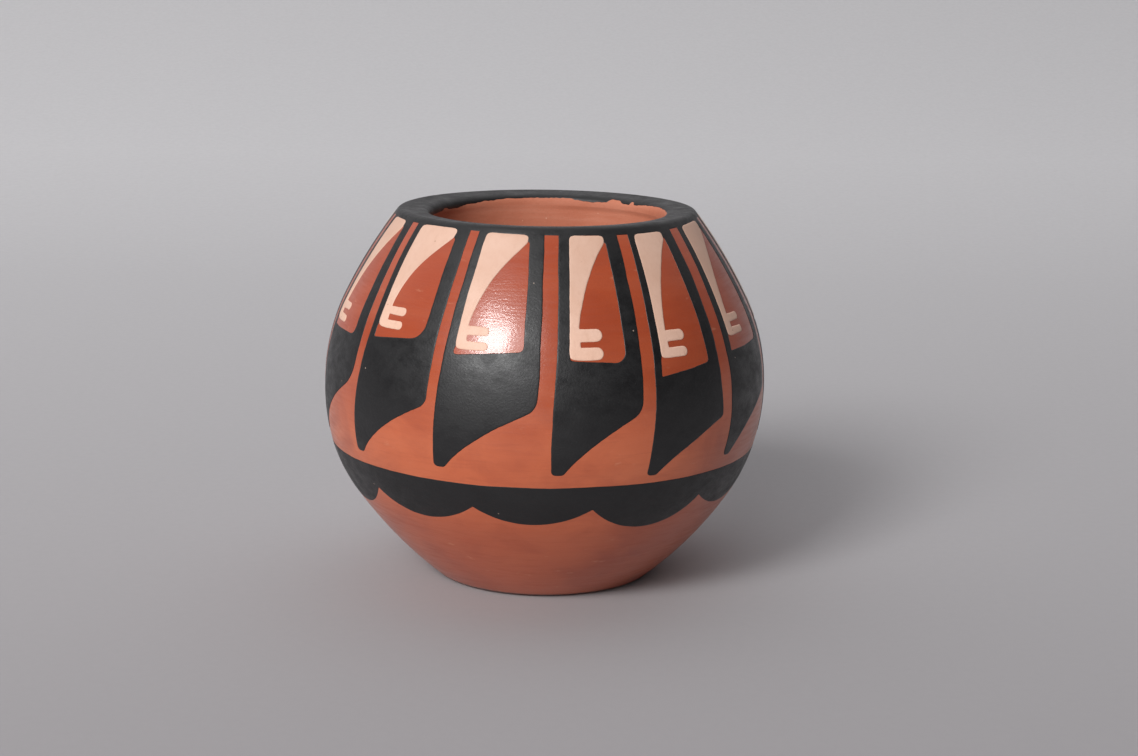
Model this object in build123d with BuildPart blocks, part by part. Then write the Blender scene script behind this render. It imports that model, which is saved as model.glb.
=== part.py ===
"""A small round pueblo jar: hand-coiled clay, a stone-polished red slip, and a painted ring of feathers.

Millimetres and degrees. The foot stands on z = 0 and +Z is the jar's axis.
Azimuth 0 faces -Y, and azimuths grow towards +X.
"""

import os
from collections import namedtuple
from math import copysign, degrees, radians, sin, sqrt

from build123d import *

# Clay wall, outside
clay_height = 63.2
belly_radius = 37.7
belly_height = 33.4
rim_radius = 25.0
foot_edge_radius = 18.9
foot_edge_height = 0.6
foot_flat_radius = 17.3

# Turns of the wall: where the shoulder lies out from rim to belly and up from belly to rim,
# and the haunch out from foot edge to belly and up from foot edge to belly
shoulder_out_share = 0.717
shoulder_up_share = 0.512
haunch_out_share = 0.689
haunch_up_share = 0.431

# Lip and clay wall, inside
mouth_radius = 20.2
lip_slope = 0.5
mouth_depth = 1.6
throat_depth = 3.4
rim_round = 1.1
mouth_round = 1.4
wall_thickness = 4.4
floor_thickness = 6.5
floor_radius = 12.0

# Coats on the clay
slip_thickness = 0.2
paint_clearance = 0.02
black_thickness = 0.12
cream_thickness = 0.16

# Painted bands
rim_band_drop = 0.85
scallop_top = 23.65
scallop_cusp_drop = 4.15

# Feather strokes that are alike all round, widths at mid-height
right_prong_width = 2.7
stem_width = 2.0
barb_reach = 4.6
barb_gap = 0.9
quill_end_width = 1.1
quill_round = 0.5
tip_width = 1.9
tip_round = 0.75

# Heights on the painted field, as shares of it from the scalloped band up to the rim band
waist_share = 0.58
gap_foot_share = 0.32
quill_bend_share = 0.83

# Proportions of the brush strokes: what is left of a width at the rim, and how far along
# and up its course the lower edge of a feather turns
rim_narrowing = 0.85
sweep_along = 0.25
sweep_up = 0.5

# The red gaps between feathers: azimuth at the rim, at the waist and at the foot, width,
# and azimuth of the feather tip below. The ring was divided by eye, so the seen gaps differ.
Gap = namedtuple("Gap", "rim waist foot width tip")
seen_gaps = [
    Gap(-56.1, -54.4, -56.0, 1.9, -55.9),
    Gap(-26.0, -27.4, -28.5, 1.75, -28.2),
    Gap(1.8, 1.0, 0.1, 2.5, 1.7),
    Gap(27.5, 26.4, 25.9, 2.15, 26.0),
    Gap(52.4, 51.7, 51.9, 2.5, 51.8),
]
far_gap_count = 8
far_gap_lean = 0.8
far_gap_width = 2.2

# Feather shapes: shares of the field for the tip, the heel, both lower corners of the window
# and the foot of the quill, then the rounds of heel and window, the left prong and the barbs.
Feather = namedtuple(
    "Feather", "tip heel window_left window_right quill heel_round window_round prong barb"
)
full = Feather(0.056, 0.352, 0.536, 0.538, 0.564, 5.0, 1.2, 1.6, 1.1)
short = Feather(0.053, 0.322, 0.556, 0.580, 0.600, 2.2, 2.6, 1.6, 1.2)
level = Feather(0.065, 0.331, 0.536, 0.561, 0.557, 2.6, 0.8, 1.6, 1.35)
broad = Feather(0.056, 0.310, 0.528, 0.513, 0.530, 3.0, 1.6, 1.9, 1.85)
long = Feather(0.032, 0.240, 0.445, 0.479, 0.516, 0.8, 0.5, 1.3, 1.65)
plain = Feather(0.056, 0.281, 0.497, 0.507, 0.557, 1.5, 1.0, 1.6, 1.2)
feather_ring = [
    short, level, broad, long, plain, level, short,
    broad, plain, level, broad, short, full,
]

# Scallops: cusps of the seen side, and how far each lobe hangs below its cusps
seen_cusps = [-51.1, -18.9, 12.9, 46.5]
lobe_drops = [3.2, 2.8, 4.2, 3.1, 3.4, 3.0, 3.6, 3.2, 3.5, 2.9, 4.3]

os.makedirs("parts", exist_ok=True)

shoulder_radius = rim_radius + shoulder_out_share * (belly_radius - rim_radius)
shoulder_height = belly_height + shoulder_up_share * (clay_height - belly_height)
haunch_radius = foot_edge_radius + haunch_out_share * (belly_radius - foot_edge_radius)
haunch_height = foot_edge_height + haunch_up_share * (belly_height - foot_edge_height)


# Wall line of the clay as radius and height, from the foot up the outside and over the lip
with BuildLine() as coated_line:
    belly = (belly_radius, belly_height)
    upper_belly = TangentArc(belly, (shoulder_radius, shoulder_height), tangent=(0, 1))
    shoulder = TangentArc(upper_belly @ 1, (rim_radius, clay_height), tangent=upper_belly % 1)
    lower_belly = TangentArc(belly, (haunch_radius, haunch_height), tangent=(0, -1))
    haunch = TangentArc(lower_belly @ 1, (foot_edge_radius, foot_edge_height), tangent=lower_belly % 1)
    lip = Line(shoulder @ 1, (mouth_radius, clay_height - lip_slope))
    mouth = Line(lip @ 1, lip @ 1 - (0, mouth_depth))
    fillet(coated_line.vertices().sort_by_distance(lip @ 0)[0], rim_round)
    fillet(coated_line.vertices().sort_by_distance(lip @ 1)[0], mouth_round)
wall_arcs = [haunch, lower_belly, upper_belly, shoulder]


def outward(edge, depth):
    """An edge of the wall line moved out from the clay, with arcs kept concentric."""
    out = (edge % 0).rotate(Axis.Z, -90)
    if edge.geom_type == GeomType.CIRCLE:
        centre = edge.arc_center
        growth = 1 + depth / out.dot(edge @ 0 - centre)
        return ThreePointArc([centre + (edge @ share - centre) * growth for share in (0, 0.5, 1)])
    return Line(edge @ 0 + out * depth, edge @ 1 + out * depth)


def coat_section(inner_depth, outer_depth):
    """Section of a coat over the clay wall, between two depths from the clay."""
    wall_edges = Wire(coated_line.edges()).order_edges()
    with BuildSketch(Plane.XZ) as section:
        with BuildLine():
            inner = [outward(edge, inner_depth) for edge in wall_edges]
            outer = [outward(edge, outer_depth) for edge in wall_edges]
            Line(inner[0] @ 0, outer[0] @ 0)
            Line(inner[-1] @ 1, outer[-1] @ 1)
        make_face()
    return section.sketch


def facing(azimuth):
    """Upright plane through the jar's axis, looking out towards an azimuth."""
    return Plane.XZ.rotated((0, 0, azimuth))


def slip_radius(height):
    """Radius of the slipped wall at a height."""
    arc = next(arc for arc in wall_arcs if height <= arc.bounding_box().max.Y or arc is shoulder)
    centre = arc.arc_center
    side = copysign(1, (arc @ 0.5).X - centre.X)
    return centre.X + side * sqrt((arc.radius + side * slip_thickness) ** 2 - (height - centre.Y) ** 2)


with BuildPart() as clay_body:
    with BuildSketch(Plane.XZ):
        with BuildLine():
            add(coated_line.line)
            foot = Line((0, 0), (foot_flat_radius, 0))
            TangentArc(foot @ 1, haunch @ 1, tangent=(1, 0))
            throat = Line(mouth @ 1, mouth @ 1 - (0, throat_depth))
            inner_belly = (belly_radius - wall_thickness, belly_height)
            TangentArc(inner_belly, throat @ 1, tangent=(0, 1))
            inner_haunch = TangentArc(inner_belly, (floor_radius, floor_thickness), tangent=(0, -1))
            floor = Line(inner_haunch @ 1, (0, floor_thickness))
            Line(floor @ 1, foot @ 0)
        make_face()
    revolve(axis=Axis.Z)
clay_body.part.label = "clay_body"
export_step(clay_body.part, "parts/clay_body.step")

with BuildPart() as red_slip:
    add(coat_section(0, slip_thickness))
    revolve(axis=Axis.Z)
red_slip.part.label = "red_slip"
export_step(red_slip.part, "parts/red_slip.step")

# Paint over all of the slip, from which the painted pieces are cut
paint_depth = slip_thickness + paint_clearance
with BuildPart() as black_skin:
    add(coat_section(paint_depth, paint_depth + black_thickness))
    revolve(axis=Axis.Z)

with BuildPart() as cream_skin:
    add(coat_section(paint_depth, paint_depth + cream_thickness))
    revolve(axis=Axis.Z)

lip_middle = (rim_radius + mouth_radius) / 2
rim_band_foot = clay_height - rim_band_drop
clear_of_wall = 2 * belly_radius

# Rim band: the lip, the mouth edge and the top of the outside wall
with BuildPart() as rim_band:
    add(black_skin.part)
    split(bisect_by=Plane.XY.offset(belly_height), keep=Keep.TOP)
    with BuildSketch(Plane.XY):
        Circle(clear_of_wall)
        Circle(lip_middle, mode=Mode.SUBTRACT)
    extrude(amount=rim_band_foot, mode=Mode.SUBTRACT)
rim_band.part.label = "rim_band"
export_step(rim_band.part, "parts/rim_band.step")

# Scalloped band: round lobes side by side, cut off level at the top
far_lobe_count = len(lobe_drops) - len(seen_cusps) + 1
far_lobe_step = (360 + seen_cusps[0] - seen_cusps[-1]) / far_lobe_count
cusps = seen_cusps + [seen_cusps[-1] + far_lobe_step * n for n in range(1, far_lobe_count + 1)]
cusp_height = scallop_top - scallop_cusp_drop

with BuildPart() as scallop_band:
    add(black_skin.part)
    split(bisect_by=Plane.XY.offset(scallop_top), keep=Keep.BOTTOM)
    for start, end, drop in zip(cusps, cusps[1:], lobe_drops):
        half_chord = slip_radius(cusp_height) * sin(radians((end - start) / 2))
        with BuildSketch(facing((start + end) / 2)):
            with BuildLine():
                lobe = ThreePointArc(
                    (-half_chord, cusp_height), (0, cusp_height - drop), (half_chord, cusp_height)
                )
                Polyline(lobe @ 1, (half_chord, 0), (-half_chord, 0), lobe @ 0)
            make_face()
        extrude(amount=clear_of_wall, mode=Mode.SUBTRACT)
scallop_band.part.label = "scallop_band"
export_step(scallop_band.part, "parts/scallop_band.step")

# Feathers, from the gap on the left of the first one round to the same gap again
far_gap_step = (360 + seen_gaps[0].waist - seen_gaps[-1].waist) / (far_gap_count + 1)
far_waists = [seen_gaps[-1].waist + far_gap_step * n for n in range(1, far_gap_count + 1)]
far_gaps = [
    Gap(waist + far_gap_lean, waist, waist - far_gap_lean, far_gap_width, waist - far_gap_lean)
    for waist in far_waists
]
closing_gap = Gap(*(value + turn for value, turn in zip(seen_gaps[0], (360, 360, 360, 0, 360))))
gaps = seen_gaps + far_gaps + [closing_gap]


def field_height(share):
    """Height on the painted field, from the scalloped band at 0 to the rim band at 1."""
    return scallop_top + share * (rim_band_foot - scallop_top)


def beside(gap, distance, share):
    """Azimuth at a distance to the right of a gap's middle, at a height on the field."""
    if share > waist_share:
        rise = (share - waist_share) / (1 - waist_share)
        middle = gap.waist + rise * (gap.rim - gap.waist)
        distance = distance * (1 - rise * (1 - rim_narrowing))
    else:
        fall = (waist_share - share) / (waist_share - gap_foot_share)
        middle = gap.waist + fall * (gap.foot - gap.waist)
    return middle + degrees(distance / slip_radius(field_height(share)))


def on_wall(azimuth, share, middle):
    """Point of the slipped wall, on a plane that faces the middle azimuth of a feather."""
    height = field_height(share)
    return Vector(slip_radius(height) * sin(radians(azimuth - middle)), height)


def upright(gap, distance, shares, middle):
    """Points of an upright edge that runs beside a gap, on the same plane."""
    return [on_wall(beside(gap, distance, share), share, middle) for share in shares]


upper_share = (1 + waist_share) / 2
for number, (shape, left, right) in enumerate(zip(feather_ring, gaps, gaps[1:]), start=1):
    middle = (left.waist + right.waist) / 2
    plane = facing(middle).offset(lip_middle)
    blade_left = left.width / 2
    blade_right = -right.width / 2
    window_left = blade_left + shape.prong
    window_right = blade_right - right_prong_width

    with BuildPart() as feather:
        add(black_skin.part)
        with BuildSketch(plane) as blade:
            with BuildLine():
                tip_left = on_wall(left.tip, shape.tip, middle)
                left_shares = (1, upper_share, waist_share, gap_foot_share)
                right_shares = (1, upper_share, waist_share, shape.heel)
                left_edge = Spline(*upright(left, blade_left, left_shares, middle), tip_left)
                right_edge = Spline(upright(right, blade_right, right_shares, middle))
                tip = Line(tip_left, tip_left + (tip_width, 0))
                course = right_edge @ 1 - tip @ 1
                Bezier(tip @ 1, tip @ 1 + (sweep_along * course.X, sweep_up * course.Y), right_edge @ 1)
                Line(left_edge @ 0, right_edge @ 0)
            make_face()
            fillet(blade.vertices().sort_by_distance(right_edge @ 1)[0], shape.heel_round)
            fillet(blade.vertices().sort_by_distance(tip @ 0)[0], tip_round)
            fillet(blade.vertices().sort_by_distance(tip @ 1)[0], tip_round)
        extrude(amount=clear_of_wall, mode=Mode.INTERSECT)
        with BuildSketch(plane) as window:
            with BuildLine():
                left_shares = (1, upper_share, shape.window_left)
                right_shares = (1, upper_share, shape.window_right)
                left_edge = Spline(upright(left, window_left, left_shares, middle))
                right_edge = Spline(upright(right, window_right, right_shares, middle))
                Line(left_edge @ 0, right_edge @ 0)
                Line(left_edge @ 1, right_edge @ 1)
            make_face()
            fillet(window.vertices().sort_by_distance(right_edge @ 1)[0], shape.window_round)
        extrude(amount=clear_of_wall, mode=Mode.SUBTRACT)
    feather.part.label = f"feather_{number:02d}"
    export_step(feather.part, f"parts/{feather.part.label}.step")

    with BuildPart() as quill:
        add(cream_skin.part)
        with BuildSketch(plane) as stroke:
            with BuildLine():
                stem_shares = (shape.quill, quill_bend_share)
                foot_left, stem_left = upright(left, window_left, stem_shares, middle)
                end_top = on_wall(beside(right, window_right, 1), 1, middle)
                barb_tops = [foot_left.Y + shape.barb, foot_left.Y + 2 * shape.barb + barb_gap]
                stem_foot = foot_left + (stem_width, 0)
                neck = Vector(stem_foot.X, barb_tops[1])
                under = Bezier(neck, stem_left + (stem_width, 0), end_top - (0, quill_end_width))
                past_left = stem_left.X - belly_radius
                Polyline(under @ 1, end_top, (past_left, end_top.Y))
                Polyline((past_left, end_top.Y), (past_left, foot_left.Y), stem_foot, neck)
            make_face()
            for top in barb_tops:
                with Locations((stem_foot.X - stem_width / 2, top - shape.barb / 2)):
                    SlotOverall(barb_reach, shape.barb, align=(Align.MIN, Align.CENTER))
            add(window.sketch_local, mode=Mode.INTERSECT)
            fillet(stroke.vertices().sort_by_distance(foot_left)[0], quill_round)
        extrude(amount=clear_of_wall, mode=Mode.INTERSECT)
    quill.part.label = f"cream_quill_{number:02d}"
    export_step(quill.part, f"parts/{quill.part.label}.step")
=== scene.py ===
"""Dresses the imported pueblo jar: hand-formed clay, polished red slip and brushed paint, on a studio floor.

The jar's shapes are worked out in millimetres and turned into metres when a mesh is made.
Azimuths are in radians from -Y, which faces the camera, towards +X.
"""

import math

import bmesh
import bpy
import numpy as np
from mathutils import Matrix, Vector, noise
from mathutils.geometry import delaunay_2d_cdt


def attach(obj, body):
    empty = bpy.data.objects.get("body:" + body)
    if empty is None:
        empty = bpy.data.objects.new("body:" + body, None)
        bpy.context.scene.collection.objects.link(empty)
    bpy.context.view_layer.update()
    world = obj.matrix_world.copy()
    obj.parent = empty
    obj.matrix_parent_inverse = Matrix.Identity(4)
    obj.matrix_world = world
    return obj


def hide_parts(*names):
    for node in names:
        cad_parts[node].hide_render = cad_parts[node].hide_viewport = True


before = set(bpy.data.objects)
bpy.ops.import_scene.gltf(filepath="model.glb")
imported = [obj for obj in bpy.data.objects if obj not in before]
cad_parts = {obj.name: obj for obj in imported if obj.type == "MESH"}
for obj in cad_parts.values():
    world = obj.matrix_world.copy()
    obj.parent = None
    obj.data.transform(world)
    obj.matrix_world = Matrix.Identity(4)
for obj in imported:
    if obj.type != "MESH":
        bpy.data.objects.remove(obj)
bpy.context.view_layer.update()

MM = 0.001

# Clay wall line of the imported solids, as radius and height
foot_flat_radius = 17.3
foot_edge = (18.9, 0.6)
haunch = (31.85, 14.74)
belly = (37.7, 33.4)
shoulder = (34.11, 48.66)
rim = (25.0, 63.2)
mouth = (20.2, 62.7)
mouth_foot = (20.2, 61.1)
throat_foot = (20.2, 57.0)
rim_round_run = 0.5
mouth_round_run = 1.25
inner_belly = (33.3, 33.4)
floor_edge = (12.0, 6.5)

# Waves of the hand-formed wall: depth, count round the jar, turn, and the rise that turns it by a radian
hand_waves = [
    (0.09, 2, 0.6, math.inf),
    (0.06, 3, -1.1, 14.0),
    (0.03, 5, 0.0, 6.0),
    (0.02, 8, 0.0, -5.0),
]
full_wave_height = 9.0

# Bulge on the left of the haunch
bulge_azimuth = -math.pi / 2
bulge_depth = 0.35
bulge_turn = 0.55
bulge_height = 20.0
bulge_rise = 8.0

# Coil marks and dents of the inside, which fade out at the throat and the middle of the floor
coil_depth = 0.16
coil_turn_per_mm = 1.05
coil_tilt = 1.2
coil_waver = 0.5
dent_depth = 0.3
dent_pace = 3.0
dent_rise = 9.0
marks_top = 56.0
marks_top_fade = 8.0
marks_floor_fade = 14.0
floor_dent_depth = 0.2
floor_dent_top = 9.0
floor_dent_fade = 3.0

# Slip, which ends on the lip, with the clay's skin just under it
slip_thickness = 0.2
slip_short_of_mouth = 2.4
clay_under_slip = 0.02

# Black and cream on the slip, with their undersides sunk into it and their edges thinned over a run
black_thickness = 0.03
cream_thickness = 0.055
sunk = 0.06
edge_thickness = 0.012
edge_run = 0.3

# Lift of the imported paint's outer faces off the clay, and height of the rim band's lower edge
black_face = 0.34
cream_face = 0.38
rim_band_foot = 62.35

# Edges of the rim paint, the inner one short of where the mouth turns straight down
# Waves have a depth, a count round the jar and a turn, ragged layers a depth, a pace and a seed
rim_foot_waves = [(0.2, 2, -2.3), (0.14, 3, 2.9), (0.06, 7, 0.0)]
rim_paint_short = 0.85
rim_paint_waves = [(0.35, 1, 2.9)]
rim_paint_ragged = [(0.24, 2, 4.0), (0.18, 9, 8.0), (0.1, 30, 2.0)]
rim_paint_margin = 0.02

# Where the rim paint runs further into the mouth or stops short: azimuth and half width in degrees, and run
rim_paint_runs = [
    (143, 4, -0.7),
    (131.6, 1.3, -0.55),
    (-118, 2.5, -0.35),
    (-112, 28, 0.7),
    (145, 24, 0.45),
]

# Unsteady brush edges: depth, pace and seed round the jar, and depth, length and seed along a stroke
scallop_sway = [(0.09, 5, 0.5), (0.035, 26, 6.5)]
stroke_sway = [(0.1, 5.0, 0), (0.035, 0.9, 50)]

# Black that runs on under the cream, from just above the quill's foot and more near the rim
black_under_cream = 0.4
black_under_cream_more = 0.9
under_cream_start = 0.2
under_cream_run = 0.6
near_rim_run = 1.3

# Black and cream that run on under the rim paint
top_edge_margin = 0.4
black_under_rim = 0.5
cream_under_rim = 0.15
cream_waver_run = 4.0

# Spread of the brush's rounding at plain corners, a quill's heel and its top, and how far it reaches
black_corner = 0.14
black_heel_corner = 0.5
black_heel_reach = 0.7
black_heel_fade = 0.8
cream_corner = 0.13
cream_heel_corner = 0.6
cream_heel_reach = 0.8
cream_heel_fade = 0.9
cream_top_corner = 0.7
cream_top_reach = 2.2
cream_top_fade = 1.2
heel_height = 0.8

# Seeds of the strokes' unsteady edges
feather_seed_step = 3.0
quill_seed_shift = 1.5

# Radius at which the wall is laid out flat to cut the strokes
reference_radius = 34.0

# Mesh spacing, and rows and columns
arc_step = 0.2
outline_step = 0.12
touch_distance = 1.5 * outline_step
inner_spacing = 0.6
inner_row_share = 0.87
inner_margin = 0.5
edge_ring_depths = (0.1, 0.24, 0.42)
edge_ring_clearance = 0.85
merge_spacing = 0.08
wall_columns = 360
ribbon_columns = 1080
ribbon_rows = 34
slip_row_count = 150
clay_under_slip_rows = 90
bare_mouth_rows = 26
corner_rows = 13
lip_rows = 18
mouth_rows = 8
throat_rows = 10
disc_rows = 14
coarse_stride = 3


def tangent_arc(start, heading, end):
    """Points of the arc that leaves a point along a heading and reaches another, and its last heading."""
    start, heading, end = (np.array(value, float) for value in (start, heading, end))
    heading /= np.linalg.norm(heading)
    side = np.array((-heading[1], heading[0]))
    chord = end - start
    reach = chord @ chord / (2 * (chord @ side))
    turn = 2 * math.atan2(chord @ side, chord @ heading)
    count = max(4, round(abs(reach * turn) / arc_step))
    angles = np.linspace(0, turn, count + 1)[:, None]
    centre = start + side * reach
    points = centre - side * reach * np.cos(angles) + heading * reach * np.sin(angles)
    last_heading = heading * math.cos(turn) + side * math.sin(turn)
    return points, last_heading


def rounded_corner(before, corner, after, run):
    """Points that round off a corner, from a run before it to a run after it."""
    before, corner, after = (np.array(value, float) for value in (before, corner, after))
    start = corner + (before - corner) / np.linalg.norm(before - corner) * run
    end = corner + (after - corner) / np.linalg.norm(after - corner) * run
    shares = np.linspace(0, 1, corner_rows)[:, None]
    return (1 - shares) ** 2 * start + 2 * shares * (1 - shares) * corner + shares**2 * end


def way_along(points):
    """Length of the way to each point of a line."""
    return np.concatenate([[0], np.cumsum(np.linalg.norm(np.diff(points, axis=0), axis=1))])


def smooth_step(value):
    """0 below 0, 1 above 1 and smooth between."""
    value = np.clip(value, 0, 1)
    return value * value * (3 - 2 * value)


def wander(*place):
    """Smooth noise between about -1 and 1 at a place."""
    return noise.noise(Vector(place))


def waves(azimuth, shapes):
    """Sum of waves round the jar, each with a depth, a count and a turn."""
    return sum(depth * np.sin(count * azimuth + turn) for depth, count, turn in shapes)


def ragged_round(azimuths, layers):
    """Sum of layers of noise round the jar, each with a depth, a pace and a seed."""
    return np.array(
        [
            sum(depth * wander(pace * math.sin(a), pace * math.cos(a), seed) for depth, pace, seed in layers)
            for a in azimuths
        ]
    )


def turn_from(azimuth, middle):
    """Turn from a middle azimuth to another, the short way round."""
    return (azimuth - middle + math.pi) % (2 * math.pi) - math.pi


# Wall line from the foot edge up the outside, over the lip and down into the mouth
upper_belly, heading = tangent_arc(belly, (0, 1), shoulder)
shoulder_arc, _ = tangent_arc(shoulder, heading, rim)
lower_belly, heading = tangent_arc(belly, (0, -1), haunch)
haunch_arc, _ = tangent_arc(haunch, heading, foot_edge)
just_below_rim = shoulder_arc[-4]
rim_corner = rounded_corner(just_below_rim, rim, mouth, rim_round_run)
mouth_corner = rounded_corner(rim, mouth, mouth_foot, mouth_round_run)
below_rim = np.linalg.norm(shoulder_arc - rim, axis=1) > rim_round_run
lip_points = np.linspace(rim_corner[-1], mouth_corner[0], lip_rows)[1:-1]
mouth_points = np.linspace(mouth_corner[-1], mouth_foot, mouth_rows)[1:]
outside_line = np.vstack(
    [haunch_arc[::-1], lower_belly[::-1][1:], upper_belly[1:], shoulder_arc[1:][below_rim[1:]]]
)
outside_count = len(outside_line)
wall_line = np.vstack([outside_line, rim_corner, lip_points, mouth_corner, mouth_points])
wall_way = way_along(wall_line)
wall_tangents = np.gradient(wall_line, wall_way, axis=0)
wall_normals = np.stack([wall_tangents[:, 1], -wall_tangents[:, 0]], axis=1)
wall_normals /= np.linalg.norm(wall_normals, axis=1)[:, None]
mouth_start = wall_way[-len(mouth_points) - 1]
wall_end = wall_way[-1]


def way_at(height, lift):
    """Way along the wall line to a height on the outside of a coat that lifts off the clay."""
    heights = wall_line[:, 1] + lift * wall_normals[:, 1]
    return np.interp(height, heights[:outside_count], wall_way[:outside_count])


def hand_form(azimuth, height):
    """How far the hand-formed wall stands off a true round."""
    shapes = [(depth, count, turn + height / lean) for depth, count, turn, lean in hand_waves]
    across = turn_from(azimuth, bulge_azimuth) / bulge_turn
    upward = (height - bulge_height) / bulge_rise
    bulge = bulge_depth * np.exp(-(across**2) - upward**2)
    return waves(azimuth, shapes) * smooth_step(height / full_wave_height) + bulge


def around(azimuth, radius, height):
    """Points at azimuths, radii and heights round the jar."""
    azimuth, radius, height = np.broadcast_arrays(azimuth, radius, height)
    return np.stack([radius * np.sin(azimuth), -radius * np.cos(azimuth), height], axis=-1)


def on_wall(azimuth, way, lift):
    """Points on the wall at an azimuth, a way along the wall line and a lift off the clay."""
    radius = np.interp(way, wall_way, wall_line[:, 0]) + lift * np.interp(way, wall_way, wall_normals[:, 0])
    height = np.interp(way, wall_way, wall_line[:, 1]) + lift * np.interp(way, wall_way, wall_normals[:, 1])
    return around(azimuth, radius + hand_form(azimuth, height), height)


def add_piece(name, points, faces, material, node):
    """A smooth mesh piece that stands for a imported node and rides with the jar."""
    mesh = bpy.data.meshes.new(name)
    mesh.from_pydata((np.asarray(points) * MM).tolist(), [], faces)
    mesh.validate()
    mesh.shade_smooth()
    mesh.materials.append(material)
    piece = bpy.data.objects.new(name, mesh)
    bpy.context.scene.collection.objects.link(piece)
    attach(piece, "root")
    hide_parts(node)


def ring_faces(row_count, column_count, closed):
    """Quads between rings of points, each ring joined to the next, and the last to the first if closed."""
    faces = []
    for row in range(row_count if closed else row_count - 1):
        here = row * column_count
        above = (row + 1) % row_count * column_count
        for column in range(column_count):
            right = (column + 1) % column_count
            faces.append((here + column, here + right, above + right, above + column))
    return faces


# Node materials


class Finish:
    """A node material, with short calls for the nodes that the finishes share."""

    def __init__(self, name):
        self.material = bpy.data.materials.new(name)
        self.material.use_nodes = True
        self.nodes = self.material.node_tree.nodes
        self.links = self.material.node_tree.links
        self.shader = self.nodes["Principled BSDF"]
        self.place = self.nodes.new("ShaderNodeTexCoord").outputs["Object"]

    def set(self, node, values):
        """Sets or links inputs of a node by name or number."""
        for key, value in values.items():
            if isinstance(value, bpy.types.NodeSocket):
                self.links.new(value, node.inputs[key])
            else:
                node.inputs[key].default_value = value
        return node

    def mapped(self, per_mm, offset):
        """Coordinates with a number of cycles to the millimetre in x, y and z."""
        node = self.nodes.new("ShaderNodeMapping")
        scale = tuple(cycles / MM for cycles in per_mm)
        self.set(node, {"Vector": self.place, "Scale": scale, "Location": (offset, 2 * offset, 3 * offset)})
        return node.outputs[0]

    def noise(self, per_mm, offset, detail=3.0, roughness=0.55, distortion=0.0):
        """Noise whose grain has a number of cycles to the millimetre in x, y and z."""
        node = self.nodes.new("ShaderNodeTexNoise")
        values = {"Vector": self.mapped(per_mm, offset), "Scale": 1.0, "Detail": detail}
        self.set(node, values | {"Roughness": roughness, "Distortion": distortion})
        return node.outputs[0]

    def specks(self, per_mm, offset, size):
        """1 on sparse round specks and 0 between them."""
        node = self.nodes.new("ShaderNodeTexVoronoi")
        self.set(node, {"Vector": self.mapped((per_mm,) * 3, offset), "Scale": 1.0})
        full_size = 0.6 * size
        return self.ramp(node.outputs["Distance"], size, full_size)

    def ramp(self, value, low, high, least=0.0, most=1.0):
        """A value's range from low to high, mapped from least to most."""
        node = self.nodes.new("ShaderNodeMapRange")
        self.set(node, {0: value, 1: low, 2: high, 3: least, 4: most})
        return node.outputs[0]

    def along(self, axis):
        """The place along an axis, in metres."""
        node = self.nodes.new("ShaderNodeSeparateXYZ")
        return self.set(node, {0: self.place}).outputs[axis]

    def blend(self, share, first, second):
        """A colour between two, by a share."""
        node = self.nodes.new("ShaderNodeMix")
        node.data_type = "RGBA"
        first, second = (
            value if isinstance(value, bpy.types.NodeSocket) else (*value, 1.0) for value in (first, second)
        )
        return self.set(node, {0: share, 6: first, 7: second}).outputs[2]

    def bump(self, height, depth_mm, below=None):
        """A bump of a depth, over another bump if there is one below."""
        node = self.nodes.new("ShaderNodeBump")
        self.set(node, {"Height": height, "Distance": depth_mm * MM, "Strength": 1.0})
        if below is not None:
            self.set(node, {"Normal": below})
        return node.outputs[0]


def slip_finish():
    """Red clay slip, rubbed with a stone: streaked round the jar, glossy, with pale flecks."""
    finish = Finish("polished_red_slip")
    mottle = finish.ramp(finish.noise((0.05, 0.05, 0.07), 3.0, detail=4), 0.3, 0.7)
    streaks = finish.noise((0.03, 0.03, 0.32), 11.0, detail=5, distortion=0.4)
    strokes = finish.noise((0.16, 0.16, 1.7), 23.0, detail=4, roughness=0.6, distortion=0.8)
    grain = finish.noise((2.6, 2.6, 3.4), 31.0, detail=2)
    flecks = finish.noise((0.3, 0.3, 0.8), 47.0)
    patches = finish.noise((0.1, 0.1, 0.13), 61.0, detail=4, distortion=0.6)
    height = finish.along(2)
    # Lighter in a band round the lower belly than above and below it: partly the slip's own tone, partly
    # painted light where the floor throws light up onto the wall
    above = finish.blend(mottle, (0.37, 0.058, 0.019), (0.43, 0.077, 0.028))
    middle = finish.blend(mottle, (0.54, 0.116, 0.044), (0.62, 0.156, 0.064))
    below = finish.blend(mottle, (0.45, 0.088, 0.034), (0.53, 0.122, 0.052))
    colour = finish.blend(finish.ramp(height, 13 * MM, 23 * MM), below, middle)
    colour = finish.blend(finish.ramp(height, 29 * MM, 44 * MM), colour, above)
    colour = finish.blend(finish.ramp(patches, 0.45, 0.7, 0, 0.5), colour, (0.34, 0.06, 0.025))
    colour = finish.blend(finish.ramp(streaks, 0.45, 0.75, 0, 0.25), colour, (0.55, 0.15, 0.072))
    colour = finish.blend(finish.ramp(strokes, 0.5, 0.8, 0, 0.22), colour, (0.29, 0.042, 0.017))
    colour = finish.blend(finish.ramp(flecks, 0.67, 0.76, 0, 0.35), colour, (0.66, 0.29, 0.17))
    rough = finish.ramp(strokes, 0.35, 0.75, 0.3, 0.45)
    lines = finish.bump(strokes, 0.018)
    normal = finish.bump(grain, 0.016, finish.bump(streaks, 0.012, lines))
    values = {"Base Color": colour, "Roughness": rough, "Normal": normal, "Specular IOR Level": 0.45}
    gloss = {"Coat Weight": 0.26, "Coat IOR": 2.0, "Coat Roughness": 0.09, "Coat Normal": normal}
    finish.set(finish.shader, values | gloss)
    return finish.material


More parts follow.
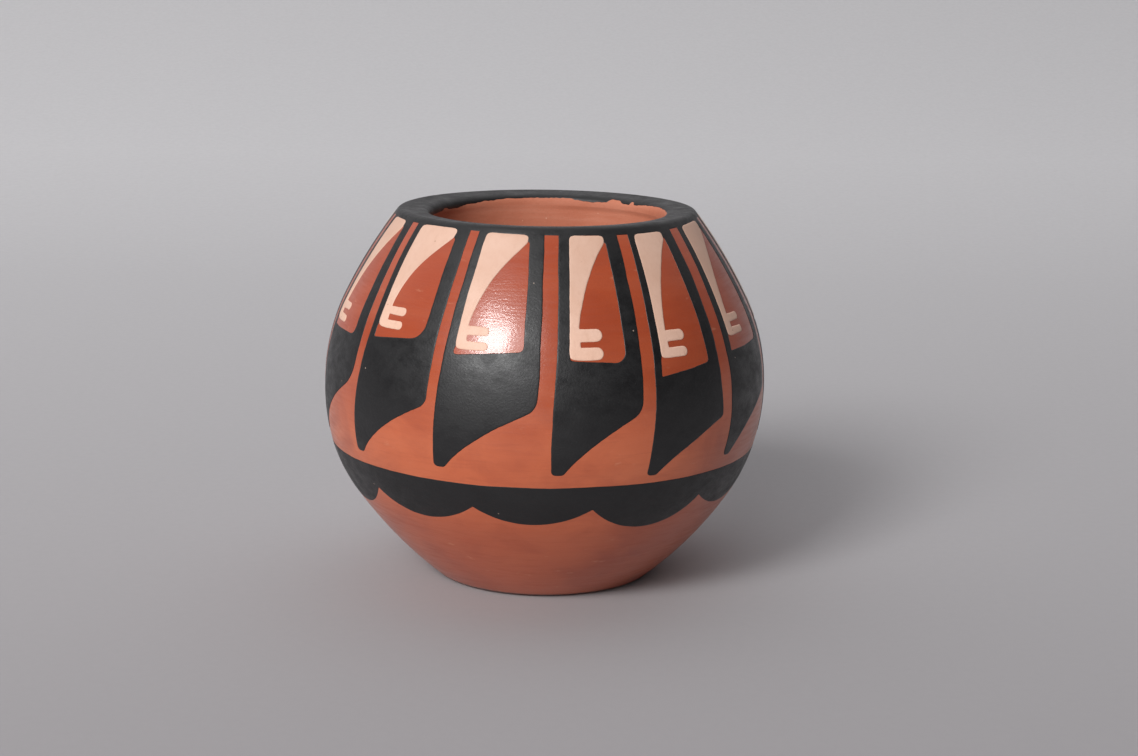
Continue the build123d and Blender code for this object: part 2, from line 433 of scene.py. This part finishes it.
def black_finish():
    """Black mineral paint: matt, with a fine speckled sheen and a few pale specks."""
    finish = Finish("matt_black_paint")
    cloud = finish.ramp(finish.noise((0.12, 0.12, 0.2), 5.0, detail=4), 0.3, 0.7)
    grain = finish.noise((2.7, 2.7, 2.7), 13.0, roughness=0.65)
    strokes = finish.noise((0.5, 0.5, 1.6), 29.0)
    patches = finish.noise((0.3, 0.3, 0.45), 43.0, detail=6, roughness=0.72)
    specks = finish.specks(0.22, 7.0, 0.03)
    colour = finish.blend(cloud, (0.0055, 0.0052, 0.0058), (0.009, 0.0087, 0.0094))
    colour = finish.blend(finish.ramp(grain, 0.6, 0.85, 0, 0.4), colour, (0.024, 0.023, 0.024))
    colour = finish.blend(specks, colour, (0.4, 0.3, 0.24))
    rough = finish.ramp(patches, 0.35, 0.65, 0.36, 0.58)
    normal = finish.bump(grain, 0.035, finish.bump(strokes, 0.01))
    values = {"Base Color": colour, "Roughness": rough, "Normal": normal, "Specular IOR Level": 0.6}
    finish.set(finish.shader, values)
    return finish.material


def cream_finish():
    """Cream clay paint: satin, with darker strokes and a few dark specks; paler low on the wall, partly its
    own tone and partly painted light where the lower strokes face the lamps.
    """
    finish = Finish("satin_cream_paint")
    cloud = finish.ramp(finish.noise((0.22, 0.22, 0.22), 2.0, detail=4), 0.3, 0.7)
    strokes = finish.noise((1.3, 1.3, 0.35), 17.0, detail=4, roughness=0.6)
    grain = finish.noise((3.5, 3.5, 3.5), 37.0)
    specks = finish.specks(0.3, 19.0, 0.035)
    # Paler below than above: partly the paint's own tone, partly painted light on the lower strokes that
    # face the lamps
    above = finish.blend(cloud, (0.68, 0.425, 0.315), (0.73, 0.48, 0.37))
    below = finish.blend(cloud, (0.83, 0.52, 0.385), (0.87, 0.565, 0.435))
    colour = finish.blend(finish.ramp(finish.along(2), 43 * MM, 56 * MM), below, above)
    colour = finish.blend(finish.ramp(strokes, 0.5, 0.8, 0, 0.4), colour, (0.62, 0.365, 0.26))
    colour = finish.blend(specks, colour, (0.3, 0.14, 0.08))
    rough = finish.ramp(grain, 0.3, 0.7, 0.42, 0.55)
    normal = finish.bump(grain, 0.006, finish.bump(strokes, 0.012))
    values = {"Base Color": colour, "Roughness": rough, "Normal": normal, "Specular IOR Level": 0.35}
    finish.set(finish.shader, values)
    return finish.material


def clay_finish():
    """Bare fired clay: matt and gritty, wiped round by hand."""
    finish = Finish("bare_fired_clay")
    cloud = finish.ramp(finish.noise((0.08, 0.08, 0.12), 9.0, detail=4), 0.3, 0.7)
    wipes = finish.noise((0.1, 0.1, 1.2), 21.0, detail=4)
    grit = finish.noise((1.8, 1.8, 1.8), 33.0, detail=5, roughness=0.7)
    specks = finish.specks(0.55, 41.0, 0.08)
    colour = finish.blend(cloud, (0.5, 0.158, 0.086), (0.58, 0.205, 0.12))
    colour = finish.blend(finish.ramp(wipes, 0.45, 0.75, 0, 0.4), colour, (0.62, 0.26, 0.17))
    colour = finish.blend(finish.ramp(grit, 0.55, 0.8, 0, 0.35), colour, (0.38, 0.115, 0.065))
    colour = finish.blend(specks, colour, (0.68, 0.36, 0.25))
    rough = finish.ramp(grit, 0.3, 0.7, 0.68, 0.85)
    normal = finish.bump(grit, 0.05, finish.bump(wipes, 0.04))
    finish.set(finish.shader, {"Base Color": colour, "Roughness": rough, "Normal": normal})
    return finish.material


red_slip = slip_finish()
black_paint = black_finish()
cream_paint = cream_finish()
bare_clay = clay_finish()


# Clay body: one closed skin from the middle of the foot, up the outside and down the inside to the floor
columns = np.linspace(0, 2 * math.pi, wall_columns, endpoint=False)
slip_end = mouth_start - slip_short_of_mouth
inner_upper, _ = tangent_arc(inner_belly, (0, 1), throat_foot)
inner_lower, _ = tangent_arc(inner_belly, (0, -1), floor_edge)
throat_line = np.linspace(mouth_foot, throat_foot, throat_rows)[1:]
inner_arcs = np.vstack([inner_upper[::-1][1:], inner_lower[1:]])[::coarse_stride]
inner_floor = np.linspace(floor_edge, (0, floor_edge[1]), disc_rows)[1:-1]
foot_corner, _ = tangent_arc((foot_flat_radius, 0), (1, 0), foot_edge)

clay_rows = []
for radius in np.linspace(0, foot_flat_radius, disc_rows)[1:-1]:
    clay_rows.append(around(columns, radius, 0.0))
for radius, height in foot_corner[:-1]:
    clay_rows.append(around(columns, radius, height))
for way in np.linspace(0, slip_end, clay_under_slip_rows):
    clay_rows.append(on_wall(columns, way, -clay_under_slip))
for way in np.linspace(slip_end, wall_end, bare_mouth_rows):
    clay_rows.append(on_wall(columns, way, slip_thickness))
for radius, height in np.vstack([throat_line, inner_arcs, inner_floor]):
    share = smooth_step((marks_top - height) / marks_top_fade) * smooth_step(radius / marks_floor_fade)
    coil_turn = height * coil_turn_per_mm + coil_tilt * np.sin(columns) + coil_waver * np.sin(3 * columns)
    dents = ragged_round(columns, [(1.0, dent_pace, height / dent_rise)])
    worn_radius = radius + share * (coil_depth * np.sin(coil_turn) + dent_depth * dents)
    floor_share = smooth_step((floor_dent_top - height) / floor_dent_fade)
    clay_rows.append(around(columns, worn_radius, height + floor_share * floor_dent_depth * dents))
clay_points = np.vstack([np.concatenate(clay_rows), [(0, 0, 0), (0, 0, floor_edge[1])]])
clay_faces = ring_faces(len(clay_rows), wall_columns, closed=False)
foot_pole = len(clay_points) - 2
floor_pole = len(clay_points) - 1
last_ring = (len(clay_rows) - 1) * wall_columns
for column in range(wall_columns):
    right = (column + 1) % wall_columns
    clay_faces.append((foot_pole, right, column))
    clay_faces.append((last_ring + column, last_ring + right, floor_pole))
add_piece("formed_clay", clay_points, clay_faces, bare_clay, "clay_body")

# Slip: a closed coat over the outside and most of the lip
slip_ways = np.linspace(0, slip_end, slip_row_count)
slip_rows = [on_wall(columns, way, slip_thickness) for way in slip_ways]
slip_rows += [on_wall(columns, way, 0.0) for way in slip_ways[::-coarse_stride]]
slip_faces = ring_faces(len(slip_rows), wall_columns, closed=True)
add_piece("polished_slip", np.concatenate(slip_rows), slip_faces, red_slip, "red_slip")


# Painted bands
ribbon_azimuths = np.linspace(0, 2 * math.pi, ribbon_columns, endpoint=False)


def edge_fullness(distance, run):
    """Share of a coat's thickness at a distance from its edge, rounded off over a run."""
    return np.sqrt(1 - (1 - np.clip(distance / run, 0, 1)) ** 2)


def add_ribbon(name, lower, upper, node):
    """A painted band all round the jar, between two edges given as ways along the wall for each column."""
    shares = (1 - np.cos(np.linspace(0, math.pi, ribbon_rows))) / 2
    rows = []
    for share in shares:
        way = lower + share * (upper - lower)
        fullness = edge_fullness(np.minimum(way - lower, upper - way), edge_run)
        lift = slip_thickness + edge_thickness + black_thickness * fullness
        rows.append(on_wall(ribbon_azimuths, way, lift))
    for share in shares[::-coarse_stride]:
        rows.append(on_wall(ribbon_azimuths, lower + share * (upper - lower), slip_thickness - sunk))
    faces = ring_faces(len(rows), ribbon_columns, closed=True)
    add_piece(name, np.concatenate(rows), faces, black_paint, node)


def rim_foot_rise(azimuth):
    """How far the lower edge of the rim paint wavers up or down at an azimuth."""
    return waves(azimuth, rim_foot_waves)


rim_lower = way_at(rim_band_foot, slip_thickness) + rim_foot_rise(ribbon_azimuths)
rim_upper = mouth_start - rim_paint_short + waves(ribbon_azimuths, rim_paint_waves)
rim_upper += ragged_round(ribbon_azimuths, rim_paint_ragged)
for middle, half_width, run in rim_paint_runs:
    away = np.degrees(turn_from(ribbon_azimuths, math.radians(middle)))
    rim_upper += run * np.exp(-((away / half_width) ** 4))
rim_upper = np.minimum(rim_upper, wall_end - rim_paint_margin)
add_ribbon("rim_paint", rim_lower, rim_upper, "rim_band")


def outlines(node, lift):
    """Closed outlines of a painted node's outer face, as azimuths and ways along the wall in order."""
    weld_distance = 0.003
    face_margin = 0.05
    solid = bmesh.new()
    solid.from_mesh(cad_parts[node].data)
    bmesh.ops.remove_doubles(solid, verts=solid.verts, dist=weld_distance * MM)
    under = (wall_line + (lift - face_margin) * wall_normals)[:outside_count] * MM
    outer = set()
    for vertex in solid.verts:
        if vertex.co.xy.length > np.interp(vertex.co.z, under[:, 1], under[:, 0]):
            outer.add(vertex)
    outer_faces = {face for face in solid.faces if outer.issuperset(face.verts)}
    following = {}
    for face in outer_faces:
        for corner in face.loops:
            if len(outer_faces.intersection(corner.edge.link_faces)) == 1:
                following[corner.vert] = corner.link_loop_next.vert
    found = []
    while following:
        start = min(following, key=lambda vertex: vertex.index)
        loop = [start]
        point = following.pop(start)
        while point in following:
            loop.append(point)
            point = following.pop(point)
        points = np.array([vertex.co for vertex in loop]) / MM
        azimuths = np.unwrap(np.arctan2(points[:, 0], -points[:, 1]))
        found.append(np.stack([azimuths, way_at(points[:, 2], lift)], axis=1))
    solid.free()
    return found


scallop_edges = []
for loop in sorted(outlines("scallop_band", black_face), key=lambda loop: loop[:, 1].mean()):
    azimuths = loop[:, 0] % (2 * math.pi)
    order = np.argsort(azimuths)
    edge = np.interp(ribbon_azimuths, azimuths[order], loop[order, 1], period=2 * math.pi)
    layers = [(depth, pace, seed + len(scallop_edges)) for depth, pace, seed in scallop_sway]
    scallop_edges.append(edge + ragged_round(ribbon_azimuths, layers))
add_ribbon("scallop_paint", scallop_edges[0], scallop_edges[-1], "scallop_band")


# Feathers and quills


def resampled(loop):
    """The same closed loop with points an outline step apart."""
    closed = np.vstack([loop, loop[:1]])
    way = way_along(closed)
    places = np.linspace(0, way[-1], int(way[-1] / outline_step), endpoint=False)
    return np.stack([np.interp(places, way, closed[:, axis]) for axis in (0, 1)], axis=1)


def softened(loop, spread):
    """A closed loop with its corners rounded over a spread."""
    reach = math.ceil(3 * spread / outline_step)
    offsets = np.arange(-reach, reach + 1)
    weights = np.exp(-((offsets * outline_step / spread) ** 2) / 2)
    weights /= weights.sum()
    return sum(weight * np.roll(loop, -offset, axis=0) for weight, offset in zip(weights, offsets))


def between(first, second, share):
    """A loop between two others, by a share for each point."""
    return first * (1 - share[:, None]) + second * share[:, None]


def outward_of(loop):
    """Unit vectors out of a loop that runs counter-clockwise."""
    along = np.roll(loop, -1, axis=0) - np.roll(loop, 1, axis=0)
    out = np.stack([along[:, 1], -along[:, 0]], axis=1)
    return out / np.maximum(np.linalg.norm(out, axis=1), 1e-9)[:, None]


def unsteady(loop, seed):
    """A loop as a brush leaves it, its edge a little unsteady."""
    sway = [
        sum(depth * wander(x / length, y / length, seed + more) for depth, length, more in stroke_sway)
        for x, y in loop
    ]
    return loop + outward_of(loop) * np.array(sway)[:, None]


def distances(points, loop):
    """Distance of each point from the nearest point of a loop."""
    gaps = np.linalg.norm(points[:, None, :] - loop[None, :, :], axis=2)
    return gaps.min(axis=1)


def inside(points, loop):
    """Whether each point lies in a loop."""
    result = np.zeros(len(points), bool)
    for (x0, y0), (x1, y1) in zip(loop, np.roll(loop, -1, axis=0)):
        crosses = (y0 > points[:, 1]) != (y1 > points[:, 1])
        reach = (x1 - x0) * (points[:, 1] - y0) / (y1 - y0 if y1 != y0 else 1) + x0
        result ^= crosses & (points[:, 0] < reach)
    return result


def fill_points(loop):
    """Points inside a loop: rings along its edge and staggered rows in the middle, one to a small square."""
    out = outward_of(loop)
    fill = []
    for depth in edge_ring_depths:
        ring = loop - out * depth
        clear = distances(ring, loop) > edge_ring_clearance * depth
        fill.append(ring[clear & inside(ring, loop)])
    low, high = loop.min(axis=0), loop.max(axis=0)
    for row, y in enumerate(np.arange(low[1], high[1], inner_spacing * inner_row_share)):
        x = np.arange(low[0] + row % 2 * inner_spacing / 2, high[0], inner_spacing)
        line = np.stack([x, np.full_like(x, y)], axis=1)
        fill.append(line[inside(line, loop) & (distances(line, loop) > inner_margin)])
    spots = {tuple(np.round(point / merge_spacing).astype(int)): point for point in np.vstack(fill)}
    return list(spots.values())


def add_stroke(name, loop, thickness, material, node):
    """A thin painted piece on the wall, full in the middle and rounded off at its edge."""
    flat = np.vstack([loop, fill_points(loop)])
    border = list(range(len(loop)))
    edges = list(zip(border, border[1:] + border[:1]))
    inside_only = 1
    tolerance = 1e-6
    cut = delaunay_2d_cdt([Vector(point) for point in flat], edges, [border], inside_only, tolerance)
    flat = np.array([tuple(point) for point in cut[0]])
    triangles = [tuple(face) for face in cut[2]]
    directed = {pair for a, b, c in triangles for pair in ((a, b), (b, c), (c, a))}
    rim_pairs = [(a, b) for a, b in directed if (b, a) not in directed]
    azimuths, ways = flat[:, 0] / reference_radius, flat[:, 1]
    fullness = edge_fullness(distances(flat, loop), edge_run)
    top = on_wall(azimuths, ways, slip_thickness + edge_thickness + thickness * fullness)
    under = on_wall(azimuths, ways, np.full(len(flat), slip_thickness - sunk))
    count = len(flat)
    faces = triangles + [(c + count, b + count, a + count) for a, b, c in triangles]
    faces += [(b, a, a + count, b + count) for a, b in sorted(rim_pairs)]
    add_piece(name, np.vstack([top, under]), faces, material, node)


def flat_outline(node, lift):
    """The outline of a painted node, laid flat in millimetres."""
    longest = max(outlines(node, lift), key=lambda loop: np.ptp(loop[:, 1]))
    return resampled(longest * (reference_radius, 1))


field_top = way_at(rim_band_foot, black_face)


def heel_of(quill):
    """The lower left corner of a quill."""
    foot = quill[:, 1].min()
    return np.array((quill[quill[:, 1] < foot + heel_height, 0].min(), foot))


def brushed_feather(feather, quill):
    """A feather's outline, run on under the cream and the rim paint, with soft corners."""
    touching = distances(feather, quill) < touch_distance
    above_foot = smooth_step((feather[:, 1] - quill[:, 1].min() - under_cream_start) / under_cream_run)
    near_top = smooth_step((feather[:, 1] - field_top + near_rim_run) / near_rim_run)
    overlap = touching * above_foot * (black_under_cream + black_under_cream_more * near_top)
    feather = feather + outward_of(feather) * overlap[:, None]
    at_top = feather[:, 1] > field_top - top_edge_margin
    feather[at_top, 1] += black_under_rim + rim_foot_rise(feather[at_top, 0] / reference_radius)
    from_heel = np.linalg.norm(feather - heel_of(quill), axis=1)
    near_heel = 1 - smooth_step((from_heel - black_heel_reach) / black_heel_fade)
    return between(softened(feather, black_corner), softened(feather, black_heel_corner), near_heel)


def brushed_quill(quill):
    """A quill's outline, following the rim paint's waver, with round corners there and at its heel."""
    heel = heel_of(quill)
    rise = cream_under_rim + rim_foot_rise(quill[:, 0] / reference_radius)
    rise = rise * smooth_step((quill[:, 1] - field_top + cream_waver_run) / cream_waver_run)
    quill = quill + np.stack([0 * rise, rise], axis=1)
    near_top = smooth_step((quill[:, 1] - field_top + cream_top_reach) / cream_top_fade)
    from_heel = (quill - heel).max(axis=1)
    near_heel = 1 - smooth_step((from_heel - cream_heel_reach) / cream_heel_fade)
    lower = between(softened(quill, cream_corner), softened(quill, cream_heel_corner), near_heel)
    return between(lower, softened(quill, cream_top_corner), near_top)


feather_count = sum(name.startswith("feather_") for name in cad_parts)
for number in range(1, feather_count + 1):
    feather_node = f"feather_{number:02d}"
    quill_node = f"cream_quill_{number:02d}"
    feather = flat_outline(feather_node, black_face)
    quill = flat_outline(quill_node, cream_face)
    seed = number * feather_seed_step
    black_loop = unsteady(brushed_feather(feather, quill), seed)
    cream_loop = unsteady(brushed_quill(quill), seed + quill_seed_shift)
    black_name = f"feather_paint_{number:02d}"
    cream_name = f"quill_paint_{number:02d}"
    add_stroke(black_name, black_loop, black_thickness, black_paint, feather_node)
    add_stroke(cream_name, cream_loop, cream_thickness, cream_paint, quill_node)


# Studio floor, in metres: paper that lies flat round the jar and sweeps up behind it
paper_reach = 6.0
sweep_start = 0.3
sweep_radius = 1.0
sweep_end = math.radians(80)
sweep_points = 41
# Painted light: the paper's colour runs from darker in front to much paler behind the jar, standing in for
# the brighter light on the back paper
paper_painted_light_fade = (-0.12, 0.5)
paper_near = (0.33, 0.315, 0.326)
paper_far_painted_light = (0.78, 0.77, 0.786)
paper_fibre = (0.28, 0.27, 0.28)

sweep_line = [(-paper_reach, 0.0)]
for angle in np.linspace(0, sweep_end, sweep_points):
    sweep_line.append((sweep_start + sweep_radius * math.sin(angle), sweep_radius * (1 - math.cos(angle))))
paper_points = [(x, y, z) for y, z in sweep_line for x in (-paper_reach, paper_reach)]
paper_faces = [(2 * row, 2 * row + 1, 2 * row + 3, 2 * row + 2) for row in range(len(sweep_line) - 1)]
paper_mesh = bpy.data.meshes.new("studio_floor")
paper_mesh.from_pydata(paper_points, [], paper_faces)
paper_mesh.shade_smooth()
studio_floor = bpy.data.objects.new("studio_floor", paper_mesh)
bpy.context.scene.collection.objects.link(studio_floor)
paper = Finish("grey_paper")
fibre = paper.noise((0.6, 0.6, 0.6), 1.0, detail=4)
paper_colour = paper.blend(paper.ramp(paper.along(1), *paper_painted_light_fade), paper_near, paper_far_painted_light)
paper_colour = paper.blend(paper.ramp(fibre, 0.35, 0.7, 0, 0.06), paper_colour, paper_fibre)
paper.set(paper.shader, {"Base Color": paper_colour, "Roughness": 0.85, "Normal": paper.bump(fibre, 0.02)})
paper_mesh.materials.append(paper.material)

# Light, in metres and watts: a soft box with a brighter middle, in front on the upper left
jar_middle = Vector((0, 0, 0.045))
lamp_distance = 1.5


def add_lamp(name, direction, width, height, energy):
    """A rectangular lamp that faces the jar from a direction."""
    light = bpy.data.lights.new(name, "AREA")
    light.shape = "RECTANGLE"
    light.size = width
    light.size_y = height
    light.energy = energy
    lamp = bpy.data.objects.new(name, light)
    towards = Vector(direction).normalized()
    lamp.location = jar_middle + towards * lamp_distance
    lamp.rotation_euler = towards.to_track_quat("Z", "Y").to_euler()
    bpy.context.scene.collection.objects.link(lamp)


add_lamp("bright_middle", (-0.440, -0.719, 0.537), width=0.44, height=0.48, energy=13.5)
add_lamp("soft_box", (-0.397, -0.815, 0.423), width=1.1, height=1.1, energy=11.0)

# Room, bright overhead and behind: its strength follows how far a direction leans to the bright side
bright_way = (-0.12, 0.66, 0.74)
lean_start = 0.2
lean_end = 0.95
least_strength = 0.04
most_strength = 0.8

room = bpy.data.worlds.new("room")
room.use_nodes = True
room_nodes = room.node_tree.nodes
room_links = room.node_tree.links
lean = room_nodes.new("ShaderNodeVectorMath")
lean.operation = "DOT_PRODUCT"
lean.inputs[1].default_value = bright_way
room_links.new(room_nodes.new("ShaderNodeTexCoord").outputs["Generated"], lean.inputs[0])
room_level = room_nodes.new("ShaderNodeMapRange")
room_level.interpolation_type = "SMOOTHSTEP"
for number, value in enumerate((lean_start, lean_end, least_strength, most_strength), start=1):
    room_level.inputs[number].default_value = value
room_links.new(lean.outputs["Value"], room_level.inputs[0])
room_links.new(room_level.outputs[0], room_nodes["Background"].inputs["Strength"])
room_nodes["Background"].inputs["Color"].default_value = (1.0, 0.985, 1.0, 1.0)
bpy.context.scene.world = room

# Camera, where the photograph was taken from: place in metres, lens in millimetres
camera_place = (0, -0.3529, 0.1090)
camera_lens = 65.83
sensor_width = 36.0
pitch, yaw, roll = math.radians(12.05), math.radians(0.68), math.radians(0.76)

camera = bpy.data.cameras.new("camera")
camera.sensor_width = sensor_width
camera.lens = camera_lens
viewer = bpy.data.objects.new("camera", camera)
look = Vector((math.cos(pitch) * math.sin(yaw), math.cos(pitch) * math.cos(yaw), -math.sin(pitch)))
turned = look.to_track_quat("-Z", "Y").to_matrix() @ Matrix.Rotation(roll, 3, "Z")
viewer.matrix_world = Matrix.Translation(camera_place) @ turned.to_4x4()
bpy.context.scene.collection.objects.link(viewer)
bpy.context.scene.camera = viewer
bpy.context.scene.view_settings.view_transform = "Standard"
